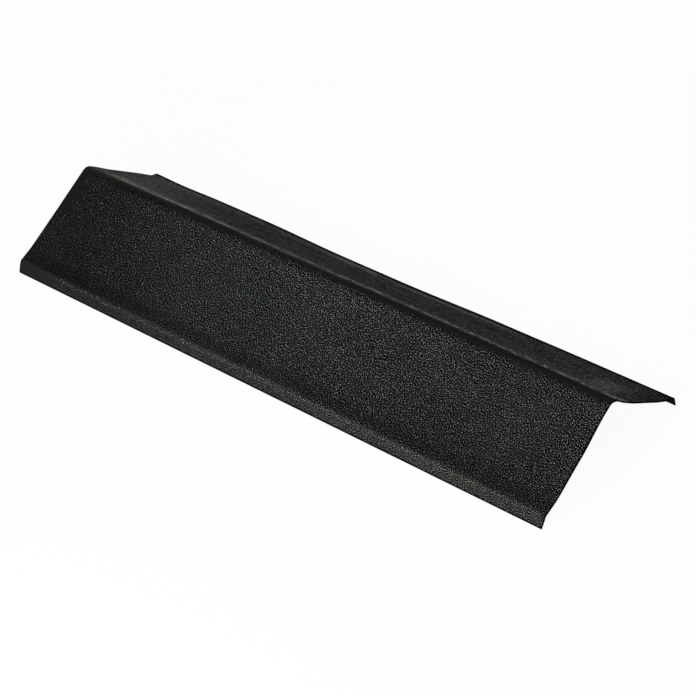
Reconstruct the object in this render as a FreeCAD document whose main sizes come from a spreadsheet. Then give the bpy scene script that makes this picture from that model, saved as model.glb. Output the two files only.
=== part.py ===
import FreeCAD, Part
import math
import os

import Sketcher

# Verge flashing: one length of chip-coated steel sheet, folded along its whole length.
# Its section starts at the lip below the face and goes up the kick, where the face's foot flares out in
# a shallow hollow, and the broad face itself. From there it goes over the rounded fold and down the
# flange, past a shallow valley, to a raised edge strip and the small lip turned down behind it.
# The piece stands on its two long edges like a low tent. X runs along it, the face looks towards -Y,
# +Z is up, and the origin is on the floor under the middle of the footprint.

# Driving dimensions: millimetres for lengths and radii, degrees for turns.
# A width is measured on the top surface between the sharp corners that the bends round off.
# A turn is how far the sheet is bent from the line of the part before it.
# A radius is that of the top surface.
SIZES = (
    ("stock_length", 910.0, "length of the piece"),
    ("sheet_thickness", 1.6, "steel sheet with its coat of stone chips"),
    ("lip_width", 18.0, "lip below the kick"),
    ("kick_width", 25.0, "kick, the flared foot of the face"),
    ("face_width", 142.0, "face, from the kick to the fold"),
    ("upper_flange_width", 50.0, "flange, from the fold to the valley"),
    ("lower_flange_width", 94.0, "flange, from the valley to the edge strip"),
    ("edge_strip_width", 14.5, "strip that rises out of the flange along its edge"),
    ("edge_lip_width", 13.0, "lip turned down behind the edge strip"),
    ("lip_turn", 42.0, "bend between lip and kick"),
    ("kick_turn", 7.0, "hollow bend between kick and face"),
    ("fold_turn", 66.5, "fold between face and flange"),
    ("valley_turn", 3.0, "shallow bend upwards along the flange"),
    ("strip_turn", 13.5, "bend upwards into the edge strip"),
    ("edge_lip_turn", 53.0, "bend down into the edge lip"),
    ("lip_radius", 5.0, "rounding between lip and kick"),
    ("kick_radius", 60.0, "wide rounding of the hollow"),
    ("fold_radius", 14.0, "rounding of the fold"),
    ("valley_radius", 30.0, "rounding of the valley"),
    ("strip_radius", 8.0, "rounding where the edge strip rises"),
    ("edge_lip_radius", 3.5, "rounding above the edge lip"),
)

# The flat parts of the section in order, and the bends between them.
# A bend turns down over the top surface, or up in a hollow of it.
FLATS = ("lip", "kick", "face", "upper_flange", "lower_flange", "edge_strip", "edge_lip")
BENDS = ("lip", "kick", "fold", "valley", "strip", "edge_lip")
BENDS_UP = ("kick", "valley", "strip")

SIZE = {alias: value for alias, value, note in SIZES}


def make_sheet(doc):
    """Write the driving dimensions into a spreadsheet, each in a cell that its alias names."""
    sheet = doc.addObject("Spreadsheet::Sheet", "Sizes")
    for row, (alias, value, note) in enumerate(SIZES, start=1):
        sheet.set(f"A{row}", alias)
        sheet.set(f"B{row}", str(value))
        sheet.set(f"C{row}", note)
        sheet.setAlias(f"B{row}", alias)
    doc.recompute()
    return sheet


def direction(heading):
    """Unit vector of a heading in degrees, measured from the sketch's horizontal axis."""
    angle = math.radians(heading)
    return FreeCAD.Vector(math.cos(angle), math.sin(angle), 0)


def inward(heading):
    """Unit vector that points from the top surface through the sheet, square to a heading."""
    return direction(heading - 90)


def setback(bend):
    """How far a bend's rounding reaches from its sharp corner along either flat."""
    return SIZE[bend + "_radius"] * math.tan(math.radians(SIZE[bend + "_turn"] / 2))


def headings(first):
    """Headings of all the flats, when the first flat has the given heading."""
    result = [first]
    for bend in BENDS:
        turn = SIZE[bend + "_turn"]
        result.append(result[-1] + (turn if bend in BENDS_UP else -turn))
    return result


def top_corners(first):
    """Sharp corners of the top surface, from the lip's end at zero to the edge lip's end."""
    corners = [FreeCAD.Vector()]
    for flat, heading in zip(FLATS, headings(first)):
        corners.append(corners[-1] + direction(heading) * SIZE[flat + "_width"])
    return corners


def resting_heading():
    """Heading of the lip at which the inner corners of both end edges lie on the floor."""
    corners = top_corners(0)
    angles = headings(0)
    thickness = SIZE["sheet_thickness"]
    first_foot = corners[0] + inward(angles[0]) * thickness
    last_foot = corners[-1] + inward(angles[-1]) * thickness
    span = last_foot - first_foot
    return -math.degrees(math.atan2(span.y, span.x))


def make_section(body, sheet):
    """Draw the closed section of the sheet and bind it to the driving dimensions."""
    planes = {plane.Role: plane for plane in body.Origin.OriginFeatures}
    sketch = body.newObject("Sketcher::SketchObject", "Section")
    sketch.AttachmentSupport = (planes["YZ_Plane"], [""])
    sketch.MapMode = "FlatFace"

    thickness = SIZE["sheet_thickness"]
    first = resting_heading()
    angles = headings(first)
    corners = top_corners(first)
    foot = corners[0] + inward(angles[0]) * thickness
    shift = FreeCAD.Vector(-(corners[0].x + corners[-1].x) / 2, -foot.y, 0)
    corners = [corner + shift for corner in corners]
    start_gaps = [0.0] + [setback(bend) for bend in BENDS]
    end_gaps = start_gaps[1:] + [0.0]

    # Flats of the top surface and of the under surface, one sheet thickness apart.
    flats = {"top": [], "under": []}
    for side, depth in (("top", 0.0), ("under", thickness)):
        for index, heading in enumerate(angles):
            offset = inward(heading) * depth
            start = corners[index] + direction(heading) * start_gaps[index] + offset
            end = corners[index + 1] - direction(heading) * end_gaps[index] + offset
            flats[side].append(sketch.addGeometry(Part.LineSegment(start, end), False))

    # Arcs of the bends. Both surfaces turn about one centre, which is below a bend that turns down
    # and above a bend that turns up.
    arcs = {"top": [], "under": []}
    for side in arcs:
        for index, bend in enumerate(BENDS):
            before, after = angles[index], angles[index + 1]
            tangent = corners[index + 1] - direction(before) * end_gaps[index]
            radius = SIZE[bend + "_radius"]
            if bend in BENDS_UP:
                centre = tangent - inward(before) * radius
                span = (math.radians(before - 90), math.radians(after - 90))
                radius += thickness if side == "under" else 0
            else:
                centre = tangent + inward(before) * radius
                span = (math.radians(after + 90), math.radians(before + 90))
                radius -= thickness if side == "under" else 0
            circle = Part.Circle(centre, FreeCAD.Vector(0, 0, 1), radius)
            arcs[side].append(sketch.addGeometry(Part.ArcOfCircle(circle, *span), False))

    # The two cut edges across the sheet, and the footprint on the floor as a construction line.
    start_of = {side: sketch.getPoint(flats[side][0], 1) for side in flats}
    end_of = {side: sketch.getPoint(flats[side][-1], 2) for side in flats}
    lip_cut = sketch.addGeometry(Part.LineSegment(start_of["top"], start_of["under"]), False)
    edge_cut = sketch.addGeometry(Part.LineSegment(end_of["top"], end_of["under"]), False)
    front = FreeCAD.Vector(start_of["top"].x, 0, 0)
    back = FreeCAD.Vector(end_of["top"].x, 0, 0)
    footprint = sketch.addGeometry(Part.LineSegment(front, back), True)

    # Every bend is tangent to the flats on both its sides, and both its arcs share a centre.
    rules = []
    for side in flats:
        for index, bend in enumerate(BENDS):
            arc = arcs[side][index]
            flat, next_flat = flats[side][index], flats[side][index + 1]
            arc_first, arc_last = (1, 2) if bend in BENDS_UP else (2, 1)
            rules.append(Sketcher.Constraint("Tangent", flat, 2, arc, arc_first))
            rules.append(Sketcher.Constraint("Tangent", arc, arc_last, next_flat, 1))
    for top_arc, under_arc in zip(arcs["top"], arcs["under"]):
        rules.append(Sketcher.Constraint("Coincident", top_arc, 3, under_arc, 3))

    # The cut edges are square to the sheet.
    for cut, index, position in ((lip_cut, 0, 1), (edge_cut, -1, 2)):
        rules.append(Sketcher.Constraint("Coincident", cut, 1, flats["top"][index], position))
        rules.append(Sketcher.Constraint("Coincident", cut, 2, flats["under"][index], position))
        rules.append(Sketcher.Constraint("Perpendicular", cut, flats["top"][index]))
        rules.append(Sketcher.Constraint("Parallel", flats["under"][index], flats["top"][index]))

    # At rest the inner corner of each cut edge is on the floor, and the outermost corners, over the
    # ends of the footprint, are equally far from the origin.
    horizontal_axis, origin = -1, (-1, 1)
    rules.append(Sketcher.Constraint("PointOnObject", lip_cut, 2, horizontal_axis))
    rules.append(Sketcher.Constraint("PointOnObject", edge_cut, 2, horizontal_axis))
    rules.append(Sketcher.Constraint("PointOnObject", footprint, 1, horizontal_axis))
    rules.append(Sketcher.Constraint("Symmetric", footprint, 1, footprint, 2, *origin))
    rules.append(Sketcher.Constraint("Vertical", footprint, 1, lip_cut, 1))
    rules.append(Sketcher.Constraint("Vertical", footprint, 2, edge_cut, 1))
    sketch.addConstraint(rules)

    def bind(rule, name, formula):
        """Add a dimension with a name of its own and let a formula on the sheet drive it."""
        index = sketch.addConstraint(rule)
        sketch.renameConstraint(index, name)
        sketch.setExpression(f"Constraints.{name}", formula)

    # Dimensions: straight length of each flat, turn and radii of each bend.
    gap_formulas = [f" - Sizes.{bend}_radius * tan(Sizes.{bend}_turn / 2)" for bend in BENDS]
    before_formulas = [""] + gap_formulas
    after_formulas = gap_formulas + [""]
    for index, flat in enumerate(FLATS):
        straight = SIZE[flat + "_width"] - start_gaps[index] - end_gaps[index]
        formula = f"Sizes.{flat}_width{before_formulas[index]}{after_formulas[index]}"
        bind(Sketcher.Constraint("Distance", flats["top"][index], straight), flat + "_straight", formula)
    for index, bend in enumerate(BENDS):
        turn = math.radians(SIZE[bend + "_turn"])
        radius = SIZE[bend + "_radius"]
        sign = "+" if bend in BENDS_UP else "-"
        under_radius = radius + thickness if bend in BENDS_UP else radius - thickness
        top_arc, under_arc = arcs["top"][index], arcs["under"][index]
        bind(Sketcher.Constraint("Angle", top_arc, turn), bend + "_bend", f"Sizes.{bend}_turn")
        bind(Sketcher.Constraint("Radius", top_arc, radius), bend + "_top", f"Sizes.{bend}_radius")
        bind(Sketcher.Constraint("Radius", under_arc, under_radius), bend + "_under",
             f"Sizes.{bend}_radius {sign} Sizes.sheet_thickness")
    return sketch


def make_flashing(doc, sheet):
    """Fold the sheet: the section, carried along the whole length, half to each side of the origin."""
    body = doc.addObject("PartDesign::Body", "VergeFlashing")
    body.Label = "verge_flashing"
    body.Placement = FreeCAD.Placement()
    section = make_section(body, sheet)
    doc.recompute()
    pad = body.newObject("PartDesign::Pad", "FoldedSheet")
    pad.Profile = section
    pad.SideType = "Symmetric"
    pad.setExpression("Length", "Sizes.stock_length")
    section.Visibility = False
    return body


def check(doc, bodies):
    """Stop if any object of the document has failed, or a body's shape isn't one sound solid."""
    for item in doc.Objects:
        if {"Invalid", "Error"} & set(item.State):
            raise RuntimeError(f"{item.Label} failed: {item.State}")
    for body in bodies:
        shape = body.Shape
        if shape.isNull() or not shape.isValid() or len(shape.Solids) != 1:
            raise RuntimeError(f"{body.Label} isn't one valid solid")
    for item in doc.Objects:
        if item.TypeId == "Sketcher::SketchObject" and item.solve() != 0:
            raise RuntimeError(f"{item.Label} can't be solved")


doc = FreeCAD.newDocument("verge_flashing")
sizes = make_sheet(doc)
flashing = make_flashing(doc, sizes)
doc.recompute()
check(doc, [flashing])

os.makedirs("parts", exist_ok=True)
flashing.Shape.exportStep(f"parts/{flashing.Label}.step")
box = flashing.Shape.BoundBox
print(f"{flashing.Label}: {box.XLength:.1f} x {box.YLength:.1f} x {box.ZLength:.1f} mm,",
      f"volume {flashing.Shape.Volume / 1000:.1f} cm3")
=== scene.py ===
# %% [markdown]
# # A verge flashing of chip-coated steel, dressed in Blender
# A verge flashing is a long folded strip of steel sheet that closes the sloping edge of a roof. Its broad
# face looks outwards and carries a coat of stone chips, its flange lies on the roof, and small lips stiffen
# both long edges. The frame below has the plain folded sheet at its real size. This script gives it the
# looks: the sheet with its small irregularities, its coat, and the chips as real little stones.

import bpy
import numpy as np
from mathutils import Euler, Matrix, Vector


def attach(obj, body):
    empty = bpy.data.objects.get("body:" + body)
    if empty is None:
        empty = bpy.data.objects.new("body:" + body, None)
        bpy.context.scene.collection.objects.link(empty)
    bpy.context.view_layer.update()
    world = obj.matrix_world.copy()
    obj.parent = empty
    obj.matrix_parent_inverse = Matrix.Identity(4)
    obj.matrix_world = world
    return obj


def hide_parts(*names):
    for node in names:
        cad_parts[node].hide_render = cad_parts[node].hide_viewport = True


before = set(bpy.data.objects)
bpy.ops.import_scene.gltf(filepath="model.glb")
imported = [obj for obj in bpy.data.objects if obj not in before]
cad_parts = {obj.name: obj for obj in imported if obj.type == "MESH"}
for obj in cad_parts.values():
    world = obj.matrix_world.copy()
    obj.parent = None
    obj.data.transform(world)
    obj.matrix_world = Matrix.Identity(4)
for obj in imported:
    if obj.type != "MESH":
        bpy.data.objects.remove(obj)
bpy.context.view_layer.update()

# %% [markdown]
# ## The driving dimensions
# The sheet is described as a folder would describe it: flats, each with a width between sharp corners, and
# bends between them, each with a turn in degrees and the radius of the top surface. These are the same
# sizes as in the frame, so the dressed sheet lies where the plain one does. Lengths here are millimetres,
# and they become metres where points are made.

# %% Sizes of the sheet
MM = 0.001
LENGTH = 910.0
THICKNESS = 1.6
FLATS = {"lip": 18.0, "kick": 25.0, "face": 142.0, "upper_flange": 50.0, "lower_flange": 94.0,
         "edge_strip": 14.5, "edge_lip": 13.0}
# A bend's turn is positive where it turns down over the top surface, and negative in a hollow.
BENDS = (("lip", 42.0, 5.0), ("kick", -7.0, 60.0), ("fold", 66.5, 14.0), ("valley", -3.0, 30.0),
         ("strip", -13.5, 8.0), ("edge_lip", 53.0, 3.5))
print("widths add up to", sum(FLATS.values()), "mm before the bends round them off")

# %% [markdown]
# ## The section as one line
# Walking over the top surface from the lip to the edge lip, the heading stays the same on a flat and turns
# evenly round a bend. So the heading is known at every distance walked, and the place is the sum of all
# the small steps. It could also be drawn arc by arc, but one table of fine steps gives the place and the
# heading at any distance, and that is what chips and patterns need later.

# %% Distances and headings
def walk_plan():
    """Distances at which flats and bends begin, with the heading there, starting level at the lip.

    A flat's straight part is its width less the setbacks of its bends, radius times tan of half the turn.
    A bend takes radius times turn of the walk.
    """
    setbacks = [0.0] + [radius * np.tan(np.radians(abs(turn)) / 2) for _, turn, radius in BENDS] + [0.0]
    distances, headings = [0.0], [0.0]
    for index, width in enumerate(FLATS.values()):
        distances.append(distances[-1] + width - setbacks[index] - setbacks[index + 1])
        headings.append(headings[-1])
        if index < len(BENDS):
            _, turn, radius = BENDS[index]
            distances.append(distances[-1] + radius * np.radians(abs(turn)))
            headings.append(headings[-1] - np.radians(turn))
    return np.array(distances), np.array(headings)


PLAN_AT, PLAN_HEADING = walk_plan()
WALK = PLAN_AT[-1]
PLACE = {name: PLAN_AT[2 * index + 1] for index, (name, _, _) in enumerate(BENDS)}
FOLD_END = PLAN_AT[6]
print("bends begin at", {name: round(at, 1) for name, at in PLACE.items()}, "of", round(WALK, 2), "mm")

# %% [markdown]
# The lip's own heading isn't a size that anyone sets: the sheet stands on the inner corners of its two cut
# edges. So the line is walked once with a level start, and the slope between its two feet tells how far to
# turn it back.

# %% Walk over the section
STATIONS = np.linspace(0.0, WALK, 7001)


def walked_line(first):
    """Place over the whole walk for a first heading: the running sum of cosine and sine of the heading."""
    heading = np.interp(STATIONS, PLAN_AT, PLAN_HEADING) + first
    steps = np.stack([np.cos(heading), np.sin(heading)], axis=1)
    means = (steps[1:] + steps[:-1]) / 2 * (STATIONS[1] - STATIONS[0])
    return heading, np.vstack([[0.0, 0.0], np.cumsum(means, axis=0)])


def inner(heading):
    """Unit vector from the top surface into the sheet, a quarter turn to the right of the heading."""
    return np.stack([np.sin(heading), -np.cos(heading)], axis=-1)


level_heading, level_line = walked_line(0.0)
feet = level_line[[0, -1]] + inner(level_heading[[0, -1]]) * THICKNESS
FIRST = -np.arctan2(*(feet[1] - feet[0])[::-1])
HEADING, LINE = walked_line(FIRST)
foot = LINE[0] + inner(HEADING[0]) * THICKNESS
LINE = LINE - [(LINE[0, 0] + LINE[-1, 0]) / 2, foot[1]]
print("section", np.round(np.ptp(LINE, axis=0), 2), "mm")
print("first heading", round(np.degrees(FIRST), 2), "degrees")

# %% [markdown]
# ## Small irregularities
# A real strip isn't perfect: the saw cut its ends a little askew, and the thin flange bows up and down by a
# millimetre or two between the places where it was clamped. Both are smooth functions of the place along
# the strip and of the distance walked over its section. A few knots with a smooth rise between them follow
# such a slow change more closely than a wave would. The cuts only take away, so that the strip stays inside
# its frame.

# %% Smooth changes
def smooth(low, high, value):
    """Rises from 0 at low to 1 at high, level at both ends: 3 t squared less 2 t cubed."""
    t = np.clip((value - low) / (high - low), 0.0, 1.0)
    return t * t * (3 - 2 * t)


def through(knots, value):
    """A curve through knots, level at each one: the first height plus a smooth rise between each two."""
    places, heights = list(knots), list(knots.values())
    pairs = zip(places, places[1:], heights, heights[1:])
    rises = ((after - before) * smooth(low, high, value) for low, high, before, after in pairs)
    return heights[0] + sum(rises)


# How much each end's cut takes off, by the distance walked over the section.
NEAR_CUT = {0.0: 3.0, 15.0: 2.0, PLACE["kick"]: 1.6, 100.0: 2.4, PLACE["fold"] - 12.0: 5.0,
            PLACE["fold"] + 2.0: 5.0, FOLD_END: 2.2, PLACE["strip"]: 0.3, PLACE["edge_lip"]: 0.0}
FAR_CUT = {0.0: 1.6, 9.0: 0.0, PLACE["kick"]: 0.0, 120.0: 0.7, PLACE["fold"]: 0.8, FOLD_END + 10.0: 0.0,
           PLACE["strip"]: 3.8, PLACE["edge_lip"]: 2.0, WALK: 4.0}
# How far the flange's edge and its upper part stand up, by the place along the strip.
BOW = {-455.0: 0.4, -400.0: -1.0, -320.0: 0.6, -240.0: 0.6, -90.0: -2.8, 10.0: -2.8, 200.0: 1.0, 320.0: 1.8}
BELLY = {-455.0: 1.0, -340.0: 0.0, 330.0: 0.0, 455.0: -1.5}
print("cuts take off up to", max(NEAR_CUT.values()), "and", max(FAR_CUT.values()), "mm")

# %% [markdown]
# Every point of the dressed part, on the sheet or on a chip, comes from one function of the place along the
# strip and the distance walked. The coat lies a little deeper where the chips are, so that the chips' tops
# and not the coat reach the frame's surface.

# %% From place and walk to a point
CHIP_BED = 0.35
CHIPS_END = PLACE["fold"] + 3.5


def bow(along, walked):
    """Height that the flange gains at a place.

    The curve BOW grows from nothing after the fold to its whole height at the edge strip, and fades out
    over the edge lip, so that the foot stays on the floor. The curve BELLY is added between fold and strip.
    """
    share = smooth(PLACE["fold"] + 20.0, PLACE["strip"], walked)
    share = share * (1 - smooth(PLACE["edge_lip"], WALK, walked))
    bulge = smooth(FOLD_END - 6.0, FOLD_END + 20.0, walked)
    bulge = bulge * (1 - smooth(PLACE["strip"] - 30.0, PLACE["strip"], walked))
    return share * through(BOW, along) + bulge * through(BELLY, along)


def on_sheet(share, walked, depth=0.0):
    """Points in metres and the outward directions there, at a depth below the top surface.

    The share runs from 0 at the far end to 1 at the near end, between the two cuts. A point is the walked
    line's place, less the outward direction times the depth, plus the bow.
    """
    far = -LENGTH / 2 + through(FAR_CUT, walked)
    near = LENGTH / 2 - through(NEAR_CUT, walked)
    along = far + (near - far) * share
    outward = -inner(np.interp(walked, STATIONS, HEADING))
    y = np.interp(walked, STATIONS, LINE[:, 0]) - outward[..., 0] * depth
    z = np.interp(walked, STATIONS, LINE[:, 1]) - outward[..., 1] * depth + bow(along, walked)
    out = np.stack([np.zeros_like(y), outward[..., 0], outward[..., 1]], axis=-1)
    return np.stack([along, y, z], axis=-1) * MM, out


def coat_depth(walked):
    """Depth of the coat below the frame's surface: the chips' bed on the face, nothing on the flange."""
    return CHIP_BED * (1 - smooth(CHIPS_END - 3.0, CHIPS_END + 5.0, walked))


middle_of_fold, _ = on_sheet(0.5, (PLACE["fold"] + FOLD_END) / 2)
print("the fold's crest at mid length, metres:", np.round(middle_of_fold, 4))

# %% [markdown]
# ## The folded sheet
# The section is a closed ring: over the top surface, round the cut edge, back along the under surface. It
# is carried along the strip in columns, which gives a grid of quads, and the two ends are closed with a row
# of quads each. A Solidify modifier could give the thickness too, but here the two surfaces differ by the
# chips' bed, so both are worked out.

# %% Meshes from arrays
def new_mesh(name, points, faces, smooth_faces=True):
    """A mesh object from arrays: points in metres, and faces with the same number of corners each."""
    mesh = bpy.data.meshes.new(name)
    mesh.vertices.add(len(points))
    mesh.vertices.foreach_set("co", points.astype(np.float32).ravel())
    mesh.loops.add(faces.size)
    mesh.loops.foreach_set("vertex_index", faces.astype(np.int32).ravel())
    mesh.polygons.add(len(faces))
    mesh.polygons.foreach_set("loop_start", np.arange(0, faces.size, faces.shape[1], dtype=np.int32))
    mesh.polygons.foreach_set("use_smooth", np.full(len(faces), smooth_faces))
    mesh.update(calc_edges=True)
    mesh.validate()
    piece = bpy.data.objects.new(name, mesh)
    bpy.context.scene.collection.objects.link(piece)
    return piece


def add_map(piece, name, corners):
    """A UV map from one pair of numbers for each corner of each face."""
    layer = piece.data.uv_layers.new(name=name, do_init=False)
    layer.uv.foreach_set("vector", corners.astype(np.float32).ravel())


# %% The grid of the sheet
COLUMNS = 107
BEND_STEPS = 8
FLAT_STEP = 5.0


def walk_stations():
    """Distances walked for the ring: about one every flat step on a flat, and some round each bend."""
    parts = []
    for index in range(len(PLAN_AT) - 1):
        start, end = PLAN_AT[index], PLAN_AT[index + 1]
        is_bend = index % 2 == 1
        count = BEND_STEPS if is_bend else max(2, int((end - start) / FLAT_STEP))
        parts.append(np.linspace(start, end, count, endpoint=False))
    return np.append(np.concatenate(parts), WALK)


walked = walk_stations()
share = np.linspace(0.0, 1.0, COLUMNS)
grid = np.broadcast_to(walked, (COLUMNS, len(walked)))
top, _ = on_sheet(share[:, None], grid, coat_depth(walked))
under, _ = on_sheet(share[:, None], grid, THICKNESS)
ring = np.concatenate([top, under[:, ::-1]], axis=1)
print("grid:", COLUMNS, "columns of", ring.shape[1], "points")

# %% The faces of the sheet
def enclosed(points, faces):
    """Volume that the quads enclose: the sum of their pyramids to the origin, positive if they face out."""
    a, b, c, d = (points[faces[:, corner]] for corner in range(4))
    return float((np.cross(b - a, c - a) * a + np.cross(c - a, d - a) * a).sum() / 6)


count = ring.shape[1]
half = len(walked)
index = np.arange(COLUMNS * count).reshape(COLUMNS, count)
after = np.roll(index, -1, axis=1)
sides = np.stack([index[:-1], index[1:], after[1:], after[:-1]], axis=-1).reshape(-1, 4)
# An end's quads join the top line to the under line, which runs the other way round the ring.
first_of, last_of = np.arange(half - 1), count - 1 - np.arange(half - 1)
end_strip = np.stack([first_of, first_of + 1, last_of - 1, last_of], axis=1)
faces = np.concatenate([sides, index[0][end_strip], index[-1][end_strip][:, ::-1]])
points = ring.reshape(-1, 3)
if enclosed(points, faces) < 0:
    faces = faces[:, ::-1]
sheet = new_mesh("folded_sheet", points, faces)
print("sheet:", len(faces), "quads, volume", round(enclosed(points, faces) * 1e6, 1), "cm3")

# %% [markdown]
# ## Two maps for the sheet
# A pattern that follows the folds needs the distance walked, so one map, unrolled, simply holds the place
# along the strip and the distance walked, in metres. A second map lays the unrolled top, the unrolled under
# side and the narrow cut edges beside each other in a unit square, for whoever bakes the finish.

# %% Unroll the sheet
corner_points = faces.ravel()
point_walk = np.tile(np.concatenate([walked, walked[::-1]]), COLUMNS)
point_share = np.repeat(share, count)
unrolled = np.stack([(point_share[corner_points] - 0.5) * LENGTH, point_walk[corner_points]], axis=1) * MM
add_map(sheet, "unrolled", unrolled)
print("unrolled map, metres:", np.round(np.ptp(unrolled, axis=0), 3))

# %% Lay the sheet out in a square
STRIP_HEIGHT = 0.46
UNDER_UP = 0.49
MARGIN = 0.01


def each_corner(of_faces):
    """Repeats one value per face for the face's four corners."""
    return np.repeat(of_faces, 4)


point_under = np.tile(np.arange(count) >= half, COLUMNS)
corner_under = point_under[corner_points]
is_under = each_corner(point_under[faces].all(axis=1))
is_cut = each_corner(point_under[faces].any(axis=1)) & ~is_under
is_end = each_corner(np.arange(len(faces)) >= len(sides))
u = unrolled[:, 0] / (LENGTH * MM) * 0.96 + 0.5
v = unrolled[:, 1] / (WALK * MM) * STRIP_HEIGHT + MARGIN
# The two ends stand beside the strips, and the two long cut edges beside those.
u = np.where(is_end, 0.985 + 0.008 * corner_under, u)
v = np.where(is_end, v + (unrolled[:, 0] > 0) * UNDER_UP, v + is_under * UNDER_UP)
v = np.where(is_cut & ~is_end, 0.972 + 0.008 * corner_under + 0.012 * (unrolled[:, 1] > 0.1), v)
add_map(sheet, "OFBake", np.stack([u, v], axis=1))
sheet.data.uv_layers["unrolled"].active_render = True
print("square map spans", np.round([u.min(), u.max(), v.min(), v.max()], 3))

# %% [markdown]
# ## The sheet's edges and its place in the part
# A cut edge is never razor sharp, because the coat rounds it. A narrow Bevel modifier on the edges that
# turn by more than 50 degrees does this and leaves the wide bends alone. The sheet then takes the place of
# the frame's plain one.

# %% Break the edges
bevel = sheet.modifiers.new("broken_edges", "BEVEL")
bevel.width = 0.35 * MM
bevel.segments = 2
bevel.limit_method = "ANGLE"
bevel.angle_limit = np.radians(50)
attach(sheet, "root")
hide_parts("verge_flashing")
print("edges broken by", round(bevel.width / MM, 2), "mm")

# %% [markdown]
# ## Where the chips lie
# The chips are crushed stone, dropped on the wet coat of the face. Real chips lie close but never on top of
# each other. Points drawn freely at random would overlap and leave bare patches, so the chips lie on a
# staggered grid whose places are shifted at random.
#
# Side by side, pale and dark chips also mix more evenly than chance would have it, since a dark chip shows
# up most beside a pale one. So the tones are drawn at random and then sorted a few times against the chips
# around them.

# %% Even tones
rng = np.random.default_rng(20)
CONTRAST = 4.0
ROUNDS = 10
MOVE = 0.35
NEIGHBOURS = ((0, 1), (0, -1), (1, 0), (-1, 0), (1, -1), (-1, 1))


def around(values):
    """Mean of the six neighbours of every place on the staggered grid."""
    return sum(np.roll(values, step, (0, 1)) for step in NEIGHBOURS) / len(NEIGHBOURS)


def in_order(values):
    """Every value's rank, from 0 to 1."""
    return (np.argsort(np.argsort(values.ravel())) / values.size).reshape(values.shape)


def even_tones(shape):
    """Tones from 0 to 1 in which pale and dark chips alternate and don't gather in clumps.

    A chip's brightness is its tone to the power of the contrast. In each round the chips are put in order
    by their brightness less that of the chips around, and every tone moves a third of the way to its place
    in that order. After a few rounds the pattern is even, and not yet as neat as leather.
    """
    tones = in_order(rng.random(shape))
    for _ in range(ROUNDS):
        brightness = tones ** CONTRAST
        nearby = around(brightness)
        tones = tones + MOVE * (in_order(brightness - 0.6 * nearby - 0.4 * around(nearby)) - tones)
    return in_order(tones)


# %% A staggered grid
PITCH = 1.62
# Rows lie a little closer than places in a row, as when circles are packed. A place shifts by up to about a
# quarter of the pitch, so that no chip reaches the middle of the next.
ROW = 0.87
SHIFT = 0.26
DRAW_IN = 0.05


def staggered(pitch, low, high):
    """Places along the strip, distances walked, gaps and tones on a staggered grid, shifted a little.

    Each row starts half a pitch later than the one below it, and what runs off the end comes in again at
    the start. The places draw in towards the near end: a place that would lie at u, from -1 to 1, lies at
    u plus the draw-in times one less u squared. The gap at a place is the pitch times one less twice the
    draw-in times u, and a chip there is as much smaller.
    """
    rows, places = int((high - low) / (pitch * ROW)), int((LENGTH - 2.0) / pitch)
    row, place = np.mgrid[:rows, :places]
    shift = rng.uniform(-SHIFT, SHIFT, (2, rows, places))
    along = ((place + row / 2) % places + 0.5 + shift[0]) / places * 2 - 1
    gap = pitch * (1 - 2 * DRAW_IN * along)
    along = (along + DRAW_IN * (1 - along ** 2)) * places / 2 * pitch
    walked = (row * ROW + 0.5 + shift[1]) * pitch + low
    return along.ravel(), walked.ravel(), gap.ravel(), even_tones(row.shape).ravel()


along, at, gap, tone = staggered(PITCH, 0.4, CHIPS_END + 4.0)
print("places on the grid:", len(along))

# %% [markdown]
# ## The border of the chips
# The chips end in a ragged line just below the fold, which the folding left smooth, and they lie thinner at
# the far end. A ragged border has lobes of several sizes, so soft random patches of two sizes shift it, and
# a little chance for each chip frays it.

# %% Keep the chips inside the border
def patches(along, walked, cell, seed):
    """Soft patches from 0 to 1: random numbers on a square grid of the given cell, blended in between."""
    lattice = np.random.default_rng(seed).random((64, 64))
    x, y = along / cell + 32.0, walked / cell + 8.0
    i, j = np.floor(x).astype(int), np.floor(y).astype(int)
    fx, fy = smooth(0.0, 1.0, x - i), smooth(0.0, 1.0, y - j)
    i, j, i_next, j_next = i % 64, j % 64, (i + 1) % 64, (j + 1) % 64
    low = lattice[i, j] * (1 - fx) + lattice[i_next, j] * fx
    high = lattice[i, j_next] * (1 - fx) + lattice[i_next, j_next] * fx
    return low * (1 - fy) + high * fy


def lobes(along, walked, cell, seed, reach):
    """Soft patches as a shift to either side, over a whole reach in millimetres."""
    return reach * (patches(along, walked, cell, seed) - 0.5)


BARE_EDGE = 2.8
BARE_END = 1.8
upper_border = CHIPS_END - 1.0 + lobes(along, at, 7.0, 3, 3.0) + lobes(along, at, 21.0, 4, 3.0)
upper_border = upper_border + rng.normal(0.0, 0.9, len(along))
from_far_end = along + lobes(along, at, 30.0, 5, 36.0) + lobes(along, at, 9.0, 6, 12.0)
on_lip = 1 - smooth(PLACE["lip"] - 2.0, PLACE["lip"] + 6.0, at)
dense = smooth(-456.0, -425.0, from_far_end - 40.0 * on_lip)
keep = (rng.random(len(along)) < dense) & (at < upper_border)
keep = keep & (at > BARE_EDGE) & (np.abs(along) < LENGTH / 2 - BARE_END)
along, at, gap, tone = along[keep], at[keep], gap[keep], tone[keep]
print("chips on the face and lip:", len(along))

# %% [markdown]
# ## How large and how pale each chip is
# The chips' size follows the gap between their places. How pale they look changes slowly over the face: the
# lip's crest is rubbed pale, the kick above it is darker, the face grows a little paler upwards, and the
# last rows before the fold grow darker. The far end has less stone, and its chips are darker too, partly
# their own tone and partly a painted fall-off of the light.
# Lists of knots with straight lines between them hold these levels, because a list is quickly matched to
# the real piece, and each chip's tone is then spread round its level.

# %% Sizes and levels
def between(knots, value):
    """The height at a value on straight lines between the knots."""
    return np.interp(value, list(knots), list(knots.values()))


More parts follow.
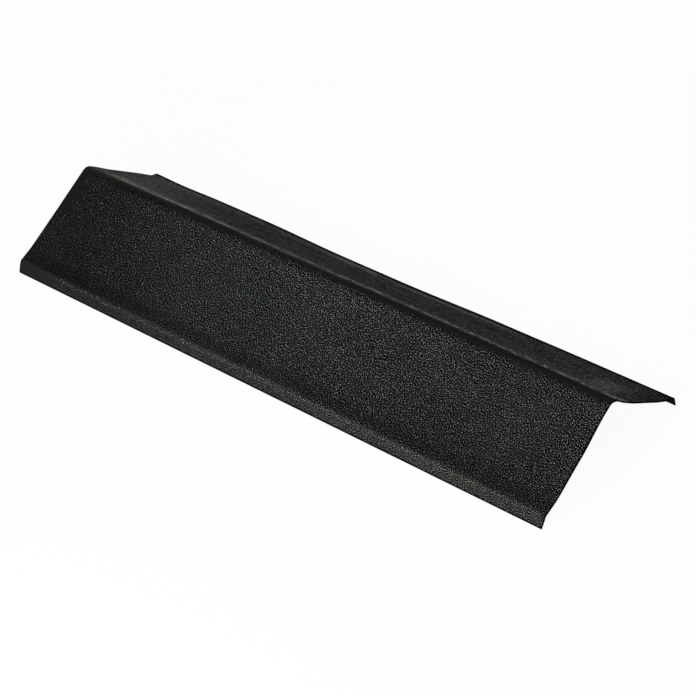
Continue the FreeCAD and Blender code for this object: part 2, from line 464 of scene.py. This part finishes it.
size = gap * rng.uniform(0.42, 0.60, len(along))
height = rng.uniform(0.45, 0.85, len(along))
# Levels by the distance walked, by the place along the strip, and for the lip alone.
ACROSS = {0.0: 0.74, 6.0: 0.72, 12.0: 0.70, 15.0: 0.97, 16.5: 0.97, 19.5: 0.44, 24.0: 0.31, 32.0: 0.31,
          44.0: 0.48, 70.0: 0.57, 110.0: 0.60, 150.0: 0.64, 164.0: 0.69, 170.0: 0.66, 174.0: 0.50,
          177.0: 0.29, 181.0: 0.12}
# ALONG darkens the chips towards the far end: partly their own tone, partly a painted fall-off of the
# light.
ALONG = {-455.0: 0.34, -400.0: 0.36, -340.0: 0.46, -220.0: 0.72, -60.0: 0.97, 60.0: 1.08, 250.0: 1.12,
         350.0: 1.13, 400.0: 1.16, 455.0: 1.26}
LIP_ALONG = {-400.0: 0.95, -300.0: 0.80, -200.0: 0.74, -100.0: 0.78, 50.0: 0.82, 150.0: 0.94, 300.0: 1.06}
level = between(ACROSS, at) * between(ALONG, along)
level = level * (0.9 + 0.2 * patches(along, at, 40.0, 8))
level = level * (1 + (between(LIP_ALONG, along) - 1) * (1 - smooth(14.0, 19.0, at)))
print("levels from", round(float(level.min()), 2), "to", round(float(level.max()), 2))
print("mean radius of a chip", round(float(size.mean()), 2), "mm")

# %% [markdown]
# A chip's brightness is its tone to a power. A high power leaves most chips dark and a few pale, a low one
# makes them alike. The middle of the face shows the most contrast. The lip and the kick show less towards
# the far end, where their chips are worn or dirty alike.

# %% Contrast of the chips
MEAN_DIVISOR = 5.4
power = CONTRAST + 0.2 + 0.7 * smooth(-250.0, 50.0, along) - 0.7 * smooth(200.0, 400.0, along)
power = power - 1.3 * (1 - smooth(-100.0, 250.0, along)) * (1 - smooth(36.0, 50.0, at))
lip_power = 0.7 + 1.8 * smooth(-280.0, 60.0, along)
power = power + (lip_power - power) * (1 - smooth(14.0, 22.0, at))
# The mean of an even tone to a power is one over the power plus one. Multiplied by the power plus one, it
# stays at the level over the divisor, whatever the power is.
glow = level * (power + 1) / MEAN_DIVISOR * tone ** power
# A few chips are painted paler as glints, mostly at the far end and on the lip's crest.
crest = smooth(10.0, 13.0, at) * (1 - smooth(17.0, 20.0, at))
is_glint = rng.random(len(along)) > 0.955 - 0.03 * crest
glint = 1.2 * (1 - smooth(-400.0, 0.0, along)) + 1.2 * crest * (1 - smooth(-150.0, 200.0, along))
glow = glow * (0.93 + is_glint * glint)
print("mean brightness", round(float(glow.mean()), 3), "fresh chips", int(is_glint.sum()))

# %% [markdown]
# ## The shape of a chip
# Each chip is a crushed stone with a crooked foot of four corners, sunk into the coat, and a smaller
# crooked top that is tilted its own way. Twelve triangles are enough for one stone, because there are tens
# of thousands. Their corners are worked out for all stones at once, in the frame of the sheet below each
# stone: along the strip, up the section, and outwards. Copies of one stone would be lighter, but the eye
# soon finds the pattern in them.

# %% Corners of the stones
# Corners 0 to 3 are the foot and 4 to 7 the top, each counted round the stone.
STONE_FACES = np.array([[3, 2, 1, 0], [4, 5, 6, 7], [0, 1, 5, 4], [1, 2, 6, 5], [2, 3, 7, 6], [3, 0, 4, 7]])
SUNK = 0.25
print("a stone has", 2 * len(STONE_FACES), "triangles")


def stone_corners(size, height):
    """Eight corners of each stone in millimetres: to the right, up and out of its place.

    A foot corner lies at the stone's radius times 0.75 to 1.25, a top corner at 0.4 to 0.8 of that, and the
    top leans by up to a third of its height.
    """
    number = len(size)
    angle = np.arange(4) * np.pi / 2 + rng.uniform(0, np.pi, (number, 1))
    angle = angle + rng.uniform(-0.35, 0.35, (number, 4))
    radius = size[:, None] * rng.uniform(0.75, 1.25, (number, 4))
    shrink = rng.uniform(0.4, 0.8, (number, 4))
    lean = height[:, None] * 0.33 * np.cos(angle - rng.uniform(0, 2 * np.pi, (number, 1)))
    right = np.concatenate([np.cos(angle) * radius, np.cos(angle) * radius * shrink], axis=1)
    up = np.concatenate([np.sin(angle) * radius, np.sin(angle) * radius * shrink], axis=1)
    out = np.concatenate([np.full((number, 4), -SUNK), height[:, None] + lean], axis=1)
    return right, up, out


# %% One mesh of many stones
def stones(name, along, at, size, height, tone):
    """One piece of many stones: the corners along the sheet's own directions, added to each place."""
    number = len(along)
    right, up, out = stone_corners(size, height)
    share = np.clip((along + LENGTH / 2) / LENGTH, 1.0 / LENGTH, 1 - 1.0 / LENGTH)
    base, outward = on_sheet(share, at, coat_depth(at))
    upward = np.stack([np.zeros(number), outward[:, 2], -outward[:, 1]], axis=1)
    rightward = np.array([1.0, 0.0, 0.0])
    points = base[:, None, :] + MM * (right[..., None] * rightward + up[..., None] * upward[:, None, :]
                                      + out[..., None] * outward[:, None, :])
    faces = (STONE_FACES[None] + 8 * np.arange(number)[:, None, None]).reshape(-1, 4)
    piece = new_mesh(name, points.reshape(-1, 3), faces, smooth_faces=False)
    tones = piece.data.attributes.new("tone", "FLOAT", "FACE")
    tones.data.foreach_set("value", np.repeat(tone, len(STONE_FACES)).astype(np.float32))
    spread = np.stack([(base[:, None, 0] / MM + right) / LENGTH + 0.5, (at[:, None] + up) / WALK], axis=-1)
    add_map(piece, "OFBake", spread.reshape(-1, 2)[faces.ravel()])
    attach(piece, "root")
    print(name, "has", number, "stones,", 2 * len(piece.data.polygons), "triangles")
    return piece


# %% [markdown]
# The chips of the face would make one very heavy mesh, so they are laid in five beds, one above the other
# from the lip to the fold. The last bed also takes the lobes of the ragged border.

# %% Lay the beds of chips
BEDS = 5
chip_pieces = []
for number in range(BEDS):
    bed_start = CHIPS_END * number / BEDS
    bed_end = CHIPS_END * (number + 1) / BEDS + (number == BEDS - 1) * 9
    bed = (at >= bed_start) & (at < bed_end)
    piece = stones(f"chips_{number + 1}", along[bed], at[bed], size[bed], height[bed], glow[bed])
    chip_pieces.append(piece)

# %% [markdown]
# ## Stray chips
# A few thousand chips fell beyond the face. They lie scattered over the flange, more of them towards the
# near end, and one patch there is thick with them. They are what makes the flange look gritty at a low
# angle. Free random places suit them, because they are few and lie as they fell.

# %% Scatter stray chips
STRAYS = 7000
HEAP_AT = (412.0, 255.0)
HEAP_SIZE = (32.0, 42.0)
stray_along = rng.uniform(-LENGTH / 2 + 3.0, LENGTH / 2 - 6.0, STRAYS)
stray_at = rng.uniform(FOLD_END + 2.0, PLACE["edge_lip"] - 3.0, STRAYS)
crowd = 0.3 + 0.5 * smooth(-200.0, 350.0, stray_along) + lobes(stray_along, stray_at, 24.0, 11, 0.5)
heap_x, heap_y = (stray_along - HEAP_AT[0]) / HEAP_SIZE[0], (stray_at - HEAP_AT[1]) / HEAP_SIZE[1]
heap = np.exp(-heap_x ** 2 - heap_y ** 2)
kept = rng.random(STRAYS) < np.maximum(crowd, heap)
stray_along, stray_at, heap = stray_along[kept], stray_at[kept], heap[kept]
stray_size = rng.uniform(0.45, 0.95, len(stray_at))
stray_tone = rng.random(len(stray_at)) ** 3.0
stray_tone = stray_tone * (0.2 + 0.1 * smooth(0.0, 200.0, stray_along) + 0.5 * heap)
chip_pieces.append(stones("stray_chips", stray_along, stray_at, stray_size, stray_size * 0.9, stray_tone))

# %% [markdown]
# ## Shader arithmetic
# A finish is a small formula on masks and patterns. Placing its nodes one by one makes long, dull code.
# This class wraps a node's output socket instead, and its signs add Math nodes, so that a finish can be
# written as the formula it is.

# %% Wrap sockets
class Wire:
    """An output socket of a material's nodes. Its signs add Math nodes; node adds any other."""

    def __init__(self, tree, socket=None):
        self.tree = tree
        self.socket = socket

    def node(self, kind, settings=None, values=None, output=0):
        """Adds a node of this kind: its settings first, then the values or links of its sockets."""
        node = self.tree.nodes.new(kind)
        for name, value in (settings or {}).items():
            setattr(node, name, value)
        for name, value in (values or {}).items():
            if isinstance(value, Wire):
                self.tree.links.new(value.socket, node.inputs[name])
            else:
                node.inputs[name].default_value = value
        return Wire(self.tree, node.outputs[output])

    def out(self, name):
        """Another output of the same node."""
        return Wire(self.tree, self.socket.node.outputs[name])

    def feed(self, shader, name):
        """Links this socket to an input of a node, such as the shader."""
        self.tree.links.new(self.socket, shader.inputs[name])

    def maths(self, operation, first, second=0.0):
        """A Math node on two values or wires."""
        return self.node("ShaderNodeMath", {"operation": operation}, {0: first, 1: second})

    def __add__(self, other):
        return self.maths("ADD", self, other)

    def __sub__(self, other):
        return self.maths("SUBTRACT", self, other)

    def __rsub__(self, other):
        return self.maths("SUBTRACT", other, self)

    def __mul__(self, other):
        return self.maths("MULTIPLY", self, other)

    __radd__ = __add__
    __rmul__ = __mul__

    def rise(self, low, high):
        """0 below low, 1 above high, smooth between."""
        return self.node("ShaderNodeMapRange", {"interpolation_type": "SMOOTHSTEP"},
                         {"Value": self, "From Min": low, "From Max": high})

    def streaks(self, vector, along, across, detail, roughness):
        """Noise from 0 to 1 with features of about 1 / along by 1 / across metres."""
        stretched = self.node("ShaderNodeVectorMath", {"operation": "MULTIPLY"},
                              {0: vector, 1: (along, across, 1.0)})
        return self.node("ShaderNodeTexNoise", {}, {"Vector": stretched, "Scale": 1.0, "Detail": detail,
                                                    "Roughness": roughness})

    def blend(self, factor, first, second):
        """A colour between two colours."""
        return self.node("ShaderNodeMix", {"data_type": "RGBA"}, {0: factor, 6: first, 7: second}, output=2)


def new_finish(name):
    """A material with an empty Principled shader: the wire to write formulas with, and the shader node."""
    material = bpy.data.materials.new(name)
    material.use_nodes = True
    tree = material.node_tree
    return material, Wire(tree), tree.nodes["Principled BSDF"]


def grey(level):
    """A neutral colour."""
    return (level, level, level, 1.0)


# %% [markdown]
# ## The coat's finish
# The coat under the chips and on the flange is a dull black with a hint of olive. Rolling and folding left
# faint streaks along the strip, and handling rubbed it unevenly. One noise has a single size, and a worn
# coat has marks of several, so three stretched noises are added: broad smears, mottling, and a fine grain.

# %% Patterns of the coat
def olive(level):
    """The black coat's own tint at a level: a little yellow and green."""
    return (level, level * 1.04, level * 0.94, 1.0)


def past(wire, low, high):
    """0 before low and 1 past high, both in millimetres, smooth between."""
    return wire.rise(low * MM, high * MM)


def band(wire, rise, fall):
    """1 between two soft borders, each given in millimetres, else 0."""
    return past(wire, *rise) * (1 - past(wire, *fall))


coat, w, shader = new_finish("dull_black_coat")
unrolled_at = w.node("ShaderNodeUVMap", {"uv_map": "unrolled"})
parts = w.node("ShaderNodeSeparateXYZ", {}, {0: unrolled_at})
along_at, walked_at = parts.out("X"), parts.out("Y")
smears = w.streaks(unrolled_at, 22.0, 40.0, 3.0, 0.6)
mottle = w.streaks(unrolled_at, 110.0, 45.0, 4.0, 0.7)
grain = w.streaks(unrolled_at, 420.0, 120.0, 2.0, 0.7)
worn = (smears * 0.28 + mottle * 0.34 + grain * 0.38).rise(0.40, 0.60)
coat_colour = w.blend(worn, olive(0.016), olive(0.058))
# Wear and painted highlights are laid over the coat in layers, each with a mask and the level that shows
# where the mask is 1.
layers = []
print("the coat's nodes so far:", len(coat.node_tree.nodes))

# %% [markdown]
# ## The ridge: rubbed coat and a painted highlight
# Just behind the fold the flange turns level, and there the coat is grey: partly rubbed by everything that
# slid over the strip, and partly a painted highlight along the ridge. The band is spotty, and towards the
# near end it breaks up into short strokes. It is paler near both ends, but the last few centimetres at the
# far end stay dark.

# %% Rub the ridge and paint its highlight
spots = (w.streaks(unrolled_at, 60.0, 80.0, 3.0, 0.65) * 0.6 + grain * 0.4).rise(0.40, 0.60)
strokes = w.streaks(unrolled_at, 70.0, 260.0, 2.0, 0.6).rise(0.42, 0.58)
far_part = 1 - past(along_at, -420.0, -120.0)
near_part = past(along_at, 340.0, 410.0)
far_rim = 1 - past(along_at, -447.0, -412.0)
# Towards the near end, the ridge and the border of the face's coat lie a little further back.
fold_at = walked_at - past(along_at, -50.0, 200.0) * (3.5 * MM)
# The ridge band is partly rubbed coat and partly a painted highlight, grey in the coat's colour.
ridge = band(fold_at, (FOLD_END - 1.5, FOLD_END + 5.5), (FOLD_END + 14.0, FOLD_END + 32.0))
ridge = ridge * (spots * 0.95 + 0.05) * (far_part * 0.62 + near_part * 0.3 + 0.45) * (1 - far_rim * 0.8)
ridge = ridge * (1 + past(along_at, -100.0, 100.0) * (strokes * 1.2 - 0.6))
layers.append((ridge, 0.38))
print("ridge from", round(FOLD_END - 1.5, 1), "to", round(FOLD_END + 32.0, 1), "mm")

# %% [markdown]
# ## Painted highlights, painted sheen and worn places on the flange
# The raised edge strip is painted paler from the far end to the middle, a painted highlight where it faces
# the top lamp, most of all on one low hump where the flange bows, and beyond that only along its first
# bend. The far end of the flange is painted grey all over as a sheen, which fades from the ridge outwards.
# Towards the near end the flange is scratched, with one dusty patch and a dark corner.

# %% Paint highlights on the edge strip
STRIP, EDGE_LIP = PLACE["strip"], PLACE["edge_lip"]
strip = band(walked_at, (STRIP - 10.0, STRIP + 1.0), (EDGE_LIP - 7.0, EDGE_LIP - 4.0))
hump = band(along_at, (-130.0, -80.0), (-45.0, -5.0))
highlight_line = band(walked_at, (STRIP - 5.0, STRIP - 1.0), (STRIP + 4.0, STRIP + 7.0))
highlight_line = highlight_line * band(along_at, (-20.0, 40.0), (190.0, 240.0))
# Painted highlights: the strip, its hump and its first bend are paler where they face the top lamp.
layers.append((strip * (spots * 0.7 + 0.2) * (1 - past(along_at, -45.0, 20.0) * 0.9), 0.09))
layers.append((strip * hump * 0.45, 0.15))
layers.append((highlight_line * 0.65, 0.12))
print("strip from", round(STRIP, 1), "to", round(EDGE_LIP, 1), "mm")

# %% Paint sheen on the far end of the flange and wear the near end
coarse_grain = grain.rise(0.35, 0.65)
fade = band(walked_at, (FOLD_END + 10.0, FOLD_END + 28.0), (FOLD_END + 38.0, FOLD_END + 66.0))
fade = fade * (1 - past(along_at, -330.0, -120.0)) * (0.08 + 0.3 * coarse_grain)
scratched = band(walked_at, (FOLD_END + 10.0, FOLD_END + 25.0), (FOLD_END + 60.0, FOLD_END + 100.0))
scratched = scratched * past(along_at, 150.0, 320.0)
dusty = band(along_at, (366.0, 394.0), (410.0, 430.0)) * band(walked_at, (205.0, 240.0), (275.0, 310.0))
near_corner = past(along_at, 415.0, 440.0) * past(walked_at, 240.0, 290.0)
# Painted sheen: the far end of the flange is paler grey, fading from the ridge outwards.
layers.append(((1 - past(along_at, -440.0, -250.0)) * (0.15 + 0.75 * coarse_grain), 0.12))
layers.append((fade * (1 - far_rim), 0.15))
layers.append((scratched * (1 - grain.rise(0.4, 0.52)) * 0.35, 0.012))
layers.append((scratched * grain.rise(0.5, 0.62) * 0.25, 0.13))
layers.append((far_rim * 0.3, 0.03))
layers.append((dusty * grain, 0.11))
layers.append((near_corner * 0.6, 0.008))
for mask, level in layers:
    coat_colour = w.blend(mask, coat_colour, olive(level))
print("layers of wear:", len(layers))

# %% [markdown]
# ## The coat between the chips, and the rims
# Between the chips the coat lies in the chips' own shade and looks blacker than on the flange, most of all
# where the chips are thick. Past the chips' border it is smooth and dark up to the ridge. The cut rims of
# the strip and the lip's lower edge are darkened to near black, and the bend of the edge lip, which faces
# away from the lamps, is painted dark as shade.

# %% Coat the face and darken the rims
full_chips = past(along_at, -430.0, -360.0)
face_coat = w.blend(full_chips, olive(0.0125), olive(0.004))
lip_coat = w.blend(past(along_at, -410.0, -280.0), olive(0.019), olive(0.016))
smooth_coat = w.blend(full_chips, olive(0.016), olive(0.0115))
face_coat = w.blend(past(walked_at, PLACE["lip"] + 2.0, PLACE["lip"] + 8.0), lip_coat, face_coat)
face_coat = w.blend(past(walked_at, CHIPS_END - 6.0, CHIPS_END), face_coat, smooth_coat)
on_face = 1 - past(fold_at, PLACE["fold"] + 6.0, FOLD_END + 1.0)
coat_colour = w.blend(on_face, coat_colour, face_coat)

off_middle = w.node("ShaderNodeMath", {"operation": "ABSOLUTE"}, {0: along_at})
end_rims = past(off_middle, LENGTH / 2 - 3.0, LENGTH / 2 - 1.2)
lip_rim = 1 - past(walked_at, 1.6, 2.8)
# Painted shade: the bend of the edge lip faces away from the lamps.
edge_bend_shade = band(walked_at, (EDGE_LIP - 6.5, EDGE_LIP - 3.5), (EDGE_LIP + 3.0, EDGE_LIP + 6.0))
dark_rims_and_shade = w.maths("MAXIMUM", end_rims, w.maths("MAXIMUM", edge_bend_shade, lip_rim))
coat_colour = w.blend(dark_rims_and_shade, coat_colour, olive(0.002))
print("the coat's nodes:", len(coat.node_tree.nodes))

# %% Finish the sheet
coat_colour.feed(shader, "Base Color")
(0.9 + mottle * 0.1).feed(shader, "Roughness")
shader.inputs["Specular IOR Level"].default_value = 0.015
bump = w.node("ShaderNodeBump", {}, {"Strength": 0.5, "Distance": 0.0004, "Height": grain})
bump.feed(shader, "Normal")
sheet.data.materials.append(coat)
print("finish on", sheet.name, "is", coat.name)

# %% [markdown]
# ## The chips' finish
# Every chip has a brightness of its own, stored on its faces: most are dark, some grey and a few pale, as
# in crushed basalt. A material for each shade would take dozens, so one material reads the stored
# brightness. The stone's hue changes slightly from place to place, which three independent noises do, one
# for each of red, green and blue.

# %% Finish the chips
DARKEST, PALEST = 0.002, 0.65
# Each channel is multiplied by its noise times the range, plus the least. That is about 1 on average.
HUE_RANGE = (0.5, 0.5, 0.5)
HUE_LEAST = (0.725, 0.795, 0.735)
chips, w, shader = new_finish("stone_chips")
# The stored tone also carries the painted glints and the painted fall-off of the light.
stored = w.node("ShaderNodeAttribute", {"attribute_name": "tone"}).out("Fac")
object_at = w.node("ShaderNodeTexCoord").out("Object")
tint = w.node("ShaderNodeTexNoise", {}, {"Vector": object_at, "Scale": 100.0, "Detail": 2.0}, output=1)
hue = w.node("ShaderNodeVectorMath", {"operation": "MULTIPLY_ADD"}, {0: tint, 1: HUE_RANGE, 2: HUE_LEAST})
stone = w.blend(stored, grey(DARKEST), grey(PALEST))
tinted = w.node("ShaderNodeMix", {"data_type": "RGBA", "blend_type": "MULTIPLY"},
                {0: 1.0, 6: stone, 7: hue}, output=2)
tinted.feed(shader, "Base Color")
shader.inputs["Roughness"].default_value = 0.9
shader.inputs["Specular IOR Level"].default_value = 0.02
for piece in chip_pieces:
    piece.data.materials.append(chips)
print("finish on", len(chip_pieces), "pieces is", chips.name)

# %% [markdown]
# ## Floor and surroundings
# The floor is plain and pale, and to the camera it reads as white with the strip's soft shadow on it. A
# floor that is lit to white would throw too much light under the strip. Instead the floor is a plain pale
# one to the light, and the eye's own rays see mostly a white glow mixed into it, which grows to all white
# further out, so that no horizon shows.

# %% Lay the floor
FLOOR_SIZE = 30.0
FLOOR_DROP = 0.0002


def seen_directly(wire):
    """1 for the camera's own rays and for mirrored and refracted ones, else 0."""
    path = wire.node("ShaderNodeLightPath")
    mirrored = wire.maths("MAXIMUM", path.out("Is Glossy Ray"), path.out("Is Transmission Ray"))
    return wire.maths("MAXIMUM", path.out("Is Camera Ray"), mirrored)


corners = np.array([[-1, -1, 0], [1, -1, 0], [1, 1, 0], [-1, 1, 0]]) * FLOOR_SIZE / 2
floor = new_mesh("floor", corners, np.array([[0, 1, 2, 3]]), smooth_faces=False)
floor.location.z = -FLOOR_DROP
pale, w, shader = new_finish("pale_floor")
shader.inputs["Base Color"].default_value = grey(0.88)
shader.inputs["Roughness"].default_value = 0.9
white = w.node("ShaderNodeEmission", {}, {"Color": grey(1.0), "Strength": 1.0})
floor_at = w.node("ShaderNodeTexCoord").out("Object")
off_centre = w.node("ShaderNodeVectorMath", {"operation": "LENGTH"}, {0: floor_at}).out("Value")
whiter = 0.955 + 0.045 * off_centre.rise(0.6, 1.6)
mixed = w.node("ShaderNodeMixShader", {}, {0: seen_directly(w) * whiter, 1: Wire(w.tree, shader.outputs[0]),
                                           2: white})
mixed.feed(w.tree.nodes["Material Output"], "Surface")
floor.data.materials.append(pale)
print("floor", FLOOR_SIZE, "m wide,", FLOOR_DROP / MM, "mm below the strip's feet")

# %% White surroundings
AMBIENT = 0.2
world = bpy.data.worlds.new("studio")
world.use_nodes = True
bpy.context.scene.world = world
w = Wire(world.node_tree)
strength = seen_directly(w) * (1.0 - AMBIENT) + AMBIENT
strength.feed(world.node_tree.nodes["Background"], "Strength")
print("the surroundings light the part at", AMBIENT, "and look white")

# %% [markdown]
# ## Light
# Two large soft lamps are enough for a dull black piece: one low in front lights the face, and one above
# lights the flange and the lip. Small lamps would draw a hard shadow behind every chip, and large ones give
# soft shadows without sharp glints. Their power is set so that a colour looks about as it is written.

# %% Lights
def soft_light(name, place, target, size, power):
    """A rectangular lamp at a place, turned to a target."""
    light = bpy.data.lights.new(name, "AREA")
    light.shape = "RECTANGLE"
    light.size, light.size_y = size
    light.energy = power
    lamp = bpy.data.objects.new(name, light)
    lamp.location = place
    lamp.rotation_euler = (Vector(target) - Vector(place)).to_track_quat("-Z", "Y").to_euler()
    bpy.context.scene.collection.objects.link(lamp)
    print(name, power, "W")


soft_light("front_light", (0.25, -1.5, 0.55), (0.1, 0.0, 0.05), (1.2, 0.8), 24.0)
soft_light("top_light", (0.1, 0.3, 1.9), (0.0, 0.0, 0.0), (1.6, 1.2), 22.0)

# %% [markdown]
# ## Camera
# The camera stands about three metres off, above the near end, and looks down along the strip with a long
# lens. Its place, direction and lens were worked out from the photograph's outline of the piece. It is
# rolled a little, as a hand-held camera is.

# %% Camera
LENS = 110.54
CAMERA_AT = (1.5461, -1.6735, 1.7527)
AZIMUTH, ELEVATION, ROLL = 42.137, 37.950, -4.156
eye = bpy.data.cameras.new("camera")
eye.lens = LENS
eye.sensor_width = 36.0
eye.clip_start = 0.05
eye.clip_end = 50.0
camera = bpy.data.objects.new("camera", eye)
camera.location = CAMERA_AT
turn = Euler((np.radians(90 - ELEVATION), 0.0, np.radians(AZIMUTH)), "XYZ").to_matrix()
camera.rotation_euler = (turn @ Euler((0.0, 0.0, np.radians(ROLL)), "XYZ").to_matrix()).to_euler()
bpy.context.scene.collection.objects.link(camera)
bpy.context.scene.camera = camera
bpy.context.scene.view_settings.view_transform = "Standard"
print("camera", round(Vector(CAMERA_AT).length, 2), "m from the middle of the footprint")
